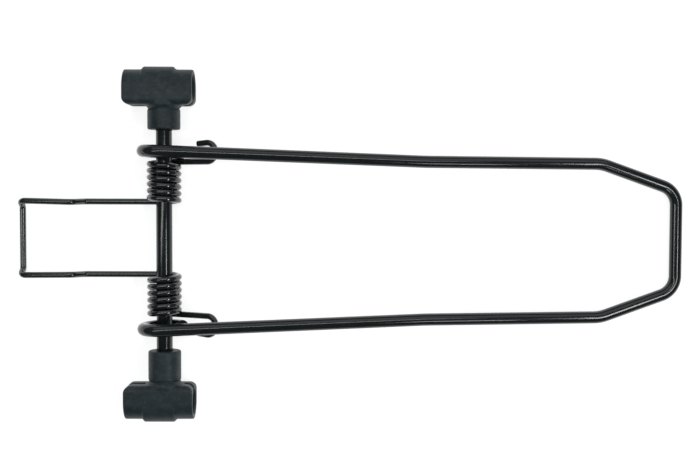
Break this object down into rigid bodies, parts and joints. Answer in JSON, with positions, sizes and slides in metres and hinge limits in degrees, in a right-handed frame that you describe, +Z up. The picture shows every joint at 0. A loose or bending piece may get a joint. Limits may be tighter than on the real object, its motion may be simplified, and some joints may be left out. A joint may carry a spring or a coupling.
{
  "type": "rear rack spring flap",
  "caption": "Luggage clamp for a bicycle rear rack: a bent-wire bail, pressed down by a double torsion spring, on a cross shaft with plastic sleeves that clip over the rack's rails.",
  "frame": {"origin": "mid-point of the cross shaft, on its axis, halfway between the two rail bores", "axes": "+X from the shaft to the bail's free end, +Y along the shaft to the left rail sleeve, +Z up as the part lies on a table with the side that faces the rack upward"},
  "size_m": [0.2599, 0.1372, 0.0201],
  "materials": {
    "shaft_steel": "glossy black coating over a round steel rod",
    "bail_wire": "satin black coating over steel wire",
    "spring_steel": "glossy black coating over spring steel wire",
    "sleeve_plastic": "matt dark slate plastic with a fine moulded grain"
  },
  "bodies": {
    "shaft": {"cross_shaft": "shaft_steel"},
    "spring": {"spring_hoop": "spring_steel", "left_coil": "spring_steel", "right_coil": "spring_steel"},
    "flap": {"bail": "bail_wire", "left_spring_leg": "spring_steel", "right_spring_leg": "spring_steel"},
    "left_sleeve": {"left_rail_sleeve": "sleeve_plastic"},
    "right_sleeve": {"right_rail_sleeve": "sleeve_plastic"}
  },
  "joints": [
    {"name": "spring_swing", "type": "hinge", "parent": "shaft", "child": "spring", "pos_m": [0, 0, 0], "axis": [0, 1, 0], "continuous": true},
    {"name": "flap_open", "type": "hinge", "parent": "spring", "child": "flap", "pos_m": [0, 0, 0], "axis": [0, 1, 0], "range_deg": [0, 110], "stiffness_Nm_per_rad": 3.2, "deforming": ["left_coil", "right_coil"]},
    {"name": "left_sleeve_swivel", "type": "hinge", "parent": "shaft", "child": "left_sleeve", "pos_m": [0, 0.0515, 0], "axis": [0, 1, 0], "continuous": true},
    {"name": "right_sleeve_swivel", "type": "hinge", "parent": "shaft", "child": "right_sleeve", "pos_m": [0, -0.0515, 0], "axis": [0, 1, 0], "continuous": true}
  ]
}
